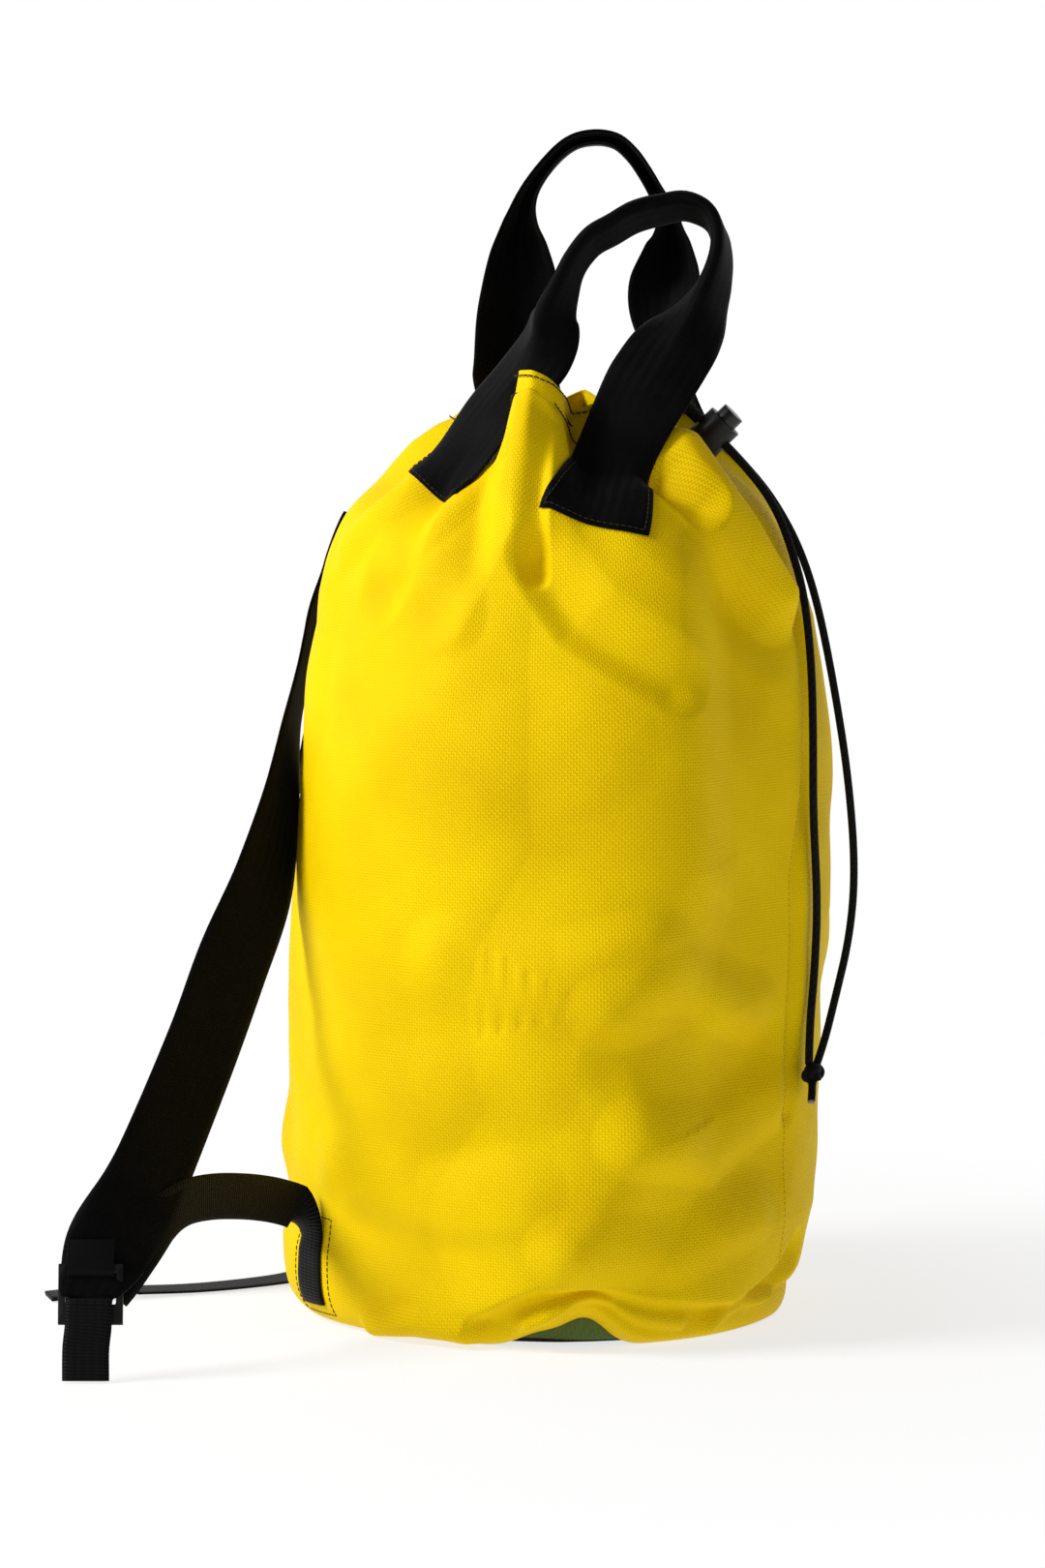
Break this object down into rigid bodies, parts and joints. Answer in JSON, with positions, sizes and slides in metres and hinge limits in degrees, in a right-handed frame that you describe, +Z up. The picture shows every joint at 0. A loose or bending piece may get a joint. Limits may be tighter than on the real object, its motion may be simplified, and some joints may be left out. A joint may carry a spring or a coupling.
{
  "type": "rope storage bag",
  "caption": "Cylindrical coated-fabric rope bag with a drawcord mouth, two webbing carrying handles, shoulder straps with ladder locks and a cord lock.",
  "frame": {"origin": "centre of the round base where it stands on the ground", "axes": "+Z up along the bag; +X towards the side seam, where the drawcord leaves its casing; -X is the back, with the shoulder straps; -Y is the wearer's left side and +Y the right"},
  "size_m": [0.4455, 0.4539, 0.6585],
  "materials": {
    "yellow_coated_cloth": "plain-weave polyester with a satin polymer coating",
    "green_base_cloth": "heavy coated plain weave",
    "binding_tape": "folded woven tape",
    "black_wide_webbing": "smooth herringbone webbing with a soft sheen",
    "black_ribbed_webbing": "cross-ribbed polypropylene webbing",
    "anchor_backing_cloth": "coated cloth reinforcement behind the seam",
    "black_cord": "braided polyester cord",
    "black_moulded_plastic": "moulded acetal",
    "black_button_plastic": "moulded acetal, slightly polished by use",
    "eyelet_metal": "blackened rolled brass-type eyelet",
    "spring_steel": "drawn wire"
  },
  "bodies": {
    "bag": {"base_panel": "green_base_cloth", "base_seam_binding": "binding_tape", "body_foot": "yellow_coated_cloth", "body_neck": "yellow_coated_cloth", "body_shell": "yellow_coated_cloth", "body_shoulder": "yellow_coated_cloth", "drawcord_casing": "yellow_coated_cloth", "drawcord_eyelet_back": "eyelet_metal", "drawcord_eyelet_front": "eyelet_metal", "drawcord_knot": "black_cord", "drawcord_left_leg": "black_cord", "drawcord_right_leg": "black_cord", "drawcord_ring": "black_cord", "left_anchor_patch": "anchor_backing_cloth", "left_anchor_webbing": "black_ribbed_webbing", "left_handle_back_foot": "black_wide_webbing", "left_handle_front_foot": "black_wide_webbing", "left_shoulder_strap_top": "black_wide_webbing", "left_strap_top_patch": "black_wide_webbing", "left_webbing_turn": "black_ribbed_webbing", "right_anchor_patch": "anchor_backing_cloth", "right_anchor_webbing": "black_ribbed_webbing", "right_handle_back_foot": "black_wide_webbing", "right_handle_front_foot": "black_wide_webbing", "right_shoulder_strap_top": "black_wide_webbing", "right_strap_top_patch": "black_wide_webbing", "right_webbing_turn": "black_ribbed_webbing", "side_seam_binding": "binding_tape"},
    "left_handle": {"left_handle_loop": "black_wide_webbing"},
    "right_handle": {"right_handle_loop": "black_wide_webbing"},
    "left_strap": {"left_shoulder_strap": "black_wide_webbing", "left_lower_webbing": "black_ribbed_webbing", "left_lock_keeper": "black_ribbed_webbing"},
    "right_strap": {"right_shoulder_strap": "black_wide_webbing", "right_lower_webbing": "black_ribbed_webbing", "right_lock_keeper": "black_ribbed_webbing"},
    "left_lock": {"left_ladder_lock": "black_moulded_plastic", "left_webbing_tail": "black_ribbed_webbing"},
    "right_lock": {"right_ladder_lock": "black_moulded_plastic", "right_webbing_tail": "black_ribbed_webbing"},
    "cord_lock": {"cord_lock_barrel": "black_moulded_plastic", "cord_lock_spring": "spring_steel"},
    "cord_lock_button": {"cord_lock_button": "black_button_plastic"}
  },
  "joints": [
    {"name": "left_handle_swing", "type": "hinge", "parent": "bag", "child": "left_handle", "pos_m": [-0.024, -0.084, 0.4905], "axis": [0.9833, 0.1808, -0.0226], "range_deg": [0, 115]},
    {"name": "right_handle_swing", "type": "hinge", "parent": "bag", "child": "right_handle", "pos_m": [-0.044, 0.069, 0.493], "axis": [-0.9843, 0.1758, -0.0176], "range_deg": [0, 100]},
    {"name": "left_strap_swing", "type": "hinge", "parent": "bag", "child": "left_strap", "pos_m": [-0.101, -0.126, 0.2], "axis": [0, 0, 1], "range_deg": [-20, 25]},
    {"name": "right_strap_swing", "type": "hinge", "parent": "bag", "child": "right_strap", "pos_m": [-0.16, 0.028, 0.2], "axis": [0, 0, 1], "range_deg": [-30, 4]},
    {"name": "left_lock_tilt", "type": "hinge", "parent": "left_strap", "child": "left_lock", "pos_m": [-0.1475, -0.2855, 0.058], "axis": [-0.927, -0.375, 0], "range_deg": [0, 50]},
    {"name": "right_lock_tilt", "type": "hinge", "parent": "right_strap", "child": "right_lock", "pos_m": [-0.236, -0.076, 0.0225], "axis": [-0.6198, 0.7848, 0], "range_deg": [0, 50]},
    {"name": "cord_lock_slide", "type": "slide", "parent": "bag", "child": "cord_lock", "axis": [0.6735, 0.1679, -0.7198], "range_m": [0, 0.012]},
    {"name": "cord_lock_press", "type": "slide", "parent": "cord_lock", "child": "cord_lock_button", "axis": [-0.6985, -0.1742, -0.6941], "range_m": [0, 0.003], "stiffness_N_per_m": 400, "springref_m": -0.002, "deforming": ["cord_lock_spring"]}
  ]
}
